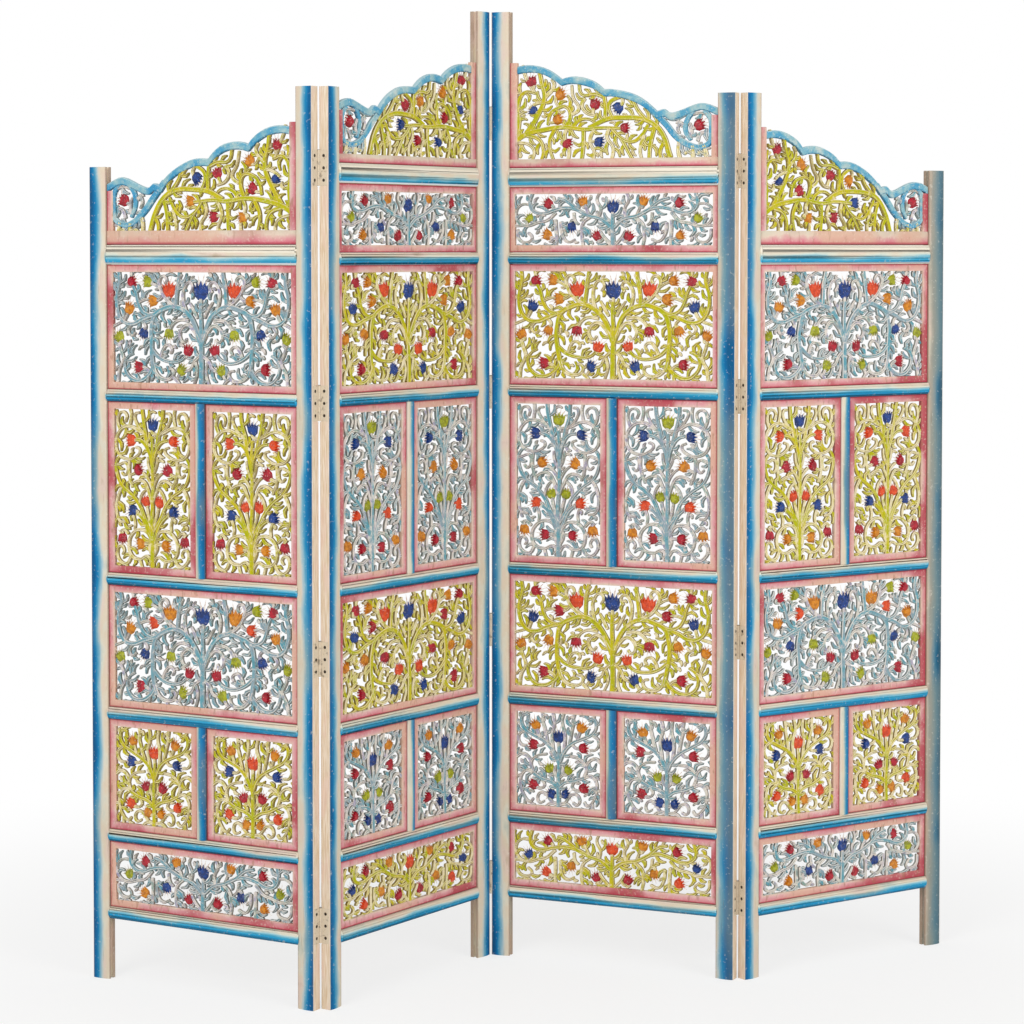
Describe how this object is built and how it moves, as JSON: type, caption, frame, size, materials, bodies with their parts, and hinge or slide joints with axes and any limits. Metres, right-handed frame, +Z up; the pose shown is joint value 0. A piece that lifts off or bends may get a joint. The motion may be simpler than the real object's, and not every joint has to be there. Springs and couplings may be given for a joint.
{
  "type": "folding screen",
  "caption": "Folding room divider of carved and pierced wooden panels with scalloped crowns, hinged in a zig-zag.",
  "frame": {"origin": "on the floor, in the middle of the screen's footprint as it stands folded", "axes": "+X along the row of panels, +Y from their fronts to their backs, +Z up"},
  "size_m": [1.6386, 0.5104, 1.83],
  "materials": {
    "frame_wood": "blue and cream limewashed paint, worn",
    "carved_wood": "many-coloured limewashed paint, worn",
    "hinge_leaf": "dull, overpainted and worn",
    "hinge_pin": "dull, tarnished",
    "screw": "dark, tarnished"
  },
  "bodies": {
    "panel_1": {"panel_1_left_post": "frame_wood", "panel_1_right_post": "frame_wood", "panel_1_rails": "frame_wood", "panel_1_muntins": "frame_wood", "panel_1_crown": "carved_wood", "panel_1_pane_bottom": "carved_wood", "panel_1_pane_small_pair": "carved_wood", "panel_1_pane_wide_lower": "carved_wood", "panel_1_pane_tall_pair": "carved_wood", "panel_1_pane_wide_upper": "carved_wood", "left_hinge_leaves_panel_1": "hinge_leaf", "left_hinge_screws_panel_1": "screw"},
    "panel_2": {"panel_2_left_post": "frame_wood", "panel_2_right_post": "frame_wood", "panel_2_rails": "frame_wood", "panel_2_muntins": "frame_wood", "panel_2_crown": "carved_wood", "panel_2_pane_bottom": "carved_wood", "panel_2_pane_small_pair": "carved_wood", "panel_2_pane_wide_lower": "carved_wood", "panel_2_pane_tall_pair": "carved_wood", "panel_2_pane_wide_upper": "carved_wood", "panel_2_pane_top": "carved_wood", "left_hinge_leaves_panel_2": "hinge_leaf", "left_hinge_screws_panel_2": "screw", "left_hinge_pins": "hinge_pin", "centre_hinge_leaves_panel_2": "hinge_leaf", "centre_hinge_screws_panel_2": "screw", "centre_hinge_pins": "hinge_pin"},
    "panel_3": {"panel_3_left_post": "frame_wood", "panel_3_right_post": "frame_wood", "panel_3_rails": "frame_wood", "panel_3_muntins": "frame_wood", "panel_3_crown": "carved_wood", "panel_3_pane_bottom": "carved_wood", "panel_3_pane_small_pair": "carved_wood", "panel_3_pane_wide_lower": "carved_wood", "panel_3_pane_tall_pair": "carved_wood", "panel_3_pane_wide_upper": "carved_wood", "panel_3_pane_top": "carved_wood", "centre_hinge_leaves_panel_3": "hinge_leaf", "centre_hinge_screws_panel_3": "screw", "right_hinge_leaves_panel_3": "hinge_leaf", "right_hinge_screws_panel_3": "screw", "right_hinge_pins": "hinge_pin"},
    "panel_4": {"panel_4_left_post": "frame_wood", "panel_4_right_post": "frame_wood", "panel_4_rails": "frame_wood", "panel_4_muntins": "frame_wood", "panel_4_crown": "carved_wood", "panel_4_pane_bottom": "carved_wood", "panel_4_pane_small_pair": "carved_wood", "panel_4_pane_wide_lower": "carved_wood", "panel_4_pane_tall_pair": "carved_wood", "panel_4_pane_wide_upper": "carved_wood", "right_hinge_leaves_panel_4": "hinge_leaf", "right_hinge_screws_panel_4": "screw"}
  },
  "joints": [
    {"name": "left_fold", "type": "hinge", "parent": "panel_2", "child": "panel_1", "pos_m": [-0.37637, -0.23744, 0.9], "axis": [0, 0, 1], "range_deg": [-95.9, 84.1]},
    {"name": "centre_fold", "type": "hinge", "parent": "panel_2", "child": "panel_3", "pos_m": [-0.06914, 0.15516, 0.9], "axis": [0, 0, 1], "range_deg": [-101.8, 78.2]},
    {"name": "right_fold", "type": "hinge", "parent": "panel_3", "child": "panel_4", "pos_m": [0.39642, -0.02313, 0.9], "axis": [0, 0, 1], "range_deg": [-57.8, 122.2]}
  ]
}
